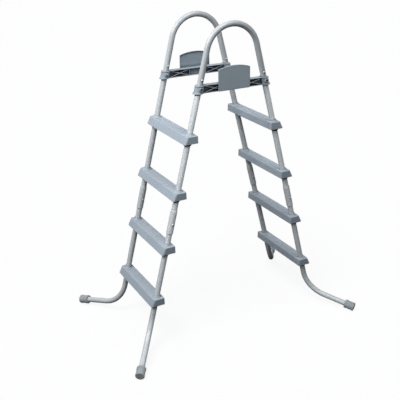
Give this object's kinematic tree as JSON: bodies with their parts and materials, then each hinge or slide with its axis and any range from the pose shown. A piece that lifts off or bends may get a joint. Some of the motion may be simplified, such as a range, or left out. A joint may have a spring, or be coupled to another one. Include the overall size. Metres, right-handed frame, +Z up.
{
  "type": "pool ladder",
  "caption": "Free-standing A-frame ladder for an above-ground pool: arched tube handrails, cross braces, splayed J-foot legs and moulded treads on both sides.",
  "frame": {"origin": "on the ground, midway between the four legs, under the middle of the handrail arches", "axes": "+X across the pool wall, from one flight of steps to the other; +Y along the treads, from the front handrail to the back one; +Z up"},
  "size_m": [1.471, 0.9508, 1.7778],
  "materials": {
    "powder_steel": "satin light grey powder coat",
    "tread_plastic": "fine-grained blue-grey moulding",
    "panel_plastic": "plain slate-grey moulding",
    "collar_plastic": "dark moulding",
    "cap_rubber": "grey moulded rubber",
    "button_metal": "bright plated",
    "black_steel": "blackened screws",
    "zinc_steel": "zinc plated",
    "spring_steel": "spring steel"
  },
  "bodies": {
    "ladder": {"handrail_front": "powder_steel", "handrail_back": "powder_steel", "brace_front": "tread_plastic", "brace_back": "tread_plastic", "panel_front": "panel_plastic", "panel_back": "panel_plastic", "upper_leg_fl": "powder_steel", "upper_leg_fr": "powder_steel", "upper_leg_bl": "powder_steel", "upper_leg_br": "powder_steel", "lower_leg_fl": "powder_steel", "lower_leg_fr": "powder_steel", "lower_leg_bl": "powder_steel", "lower_leg_br": "powder_steel", "step_l1": "tread_plastic", "step_l2": "tread_plastic", "step_l3": "tread_plastic", "step_l4": "tread_plastic", "step_r1": "tread_plastic", "step_r2": "tread_plastic", "step_r3": "tread_plastic", "step_r4": "tread_plastic", "step_collars_left": "collar_plastic", "step_collars_right": "collar_plastic", "foot_cap_fl": "cap_rubber", "foot_cap_fr": "cap_rubber", "foot_cap_bl": "cap_rubber", "foot_cap_br": "cap_rubber", "clip_springs": "spring_steel", "collar_bolts": "zinc_steel", "collar_nuts": "zinc_steel", "panel_screws": "black_steel"},
    "button_hi_fl_body": {"button_hi_fl": "button_metal"},
    "button_hi_fr_body": {"button_hi_fr": "button_metal"},
    "button_hi_bl_body": {"button_hi_bl": "button_metal"},
    "button_hi_br_body": {"button_hi_br": "button_metal"},
    "button_lo_fl_body": {"button_lo_fl": "button_metal"},
    "button_lo_fr_body": {"button_lo_fr": "button_metal"},
    "button_lo_bl_body": {"button_lo_bl": "button_metal"},
    "button_lo_br_body": {"button_lo_br": "button_metal"}
  },
  "joints": [
    {"name": "button_hi_fl_press", "type": "slide", "parent": "ladder", "child": "button_hi_fl_body", "axis": [0, 1, 0], "range_m": [0, 0.0072]},
    {"name": "button_hi_fr_press", "type": "slide", "parent": "ladder", "child": "button_hi_fr_body", "axis": [0, 1, 0], "range_m": [0, 0.0072]},
    {"name": "button_hi_bl_press", "type": "slide", "parent": "ladder", "child": "button_hi_bl_body", "axis": [0, 1, 0], "range_m": [0, 0.0072]},
    {"name": "button_hi_br_press", "type": "slide", "parent": "ladder", "child": "button_hi_br_body", "axis": [0, 1, 0], "range_m": [0, 0.0072]},
    {"name": "button_lo_fl_press", "type": "slide", "parent": "ladder", "child": "button_lo_fl_body", "axis": [0, 1, 0], "range_m": [0, 0.0084]},
    {"name": "button_lo_fr_press", "type": "slide", "parent": "ladder", "child": "button_lo_fr_body", "axis": [0, 1, 0], "range_m": [0, 0.0084]},
    {"name": "button_lo_bl_press", "type": "slide", "parent": "ladder", "child": "button_lo_bl_body", "axis": [0, 1, 0], "range_m": [0, 0.0084]},
    {"name": "button_lo_br_press", "type": "slide", "parent": "ladder", "child": "button_lo_br_body", "axis": [0, 1, 0], "range_m": [0, 0.0084]}
  ]
}
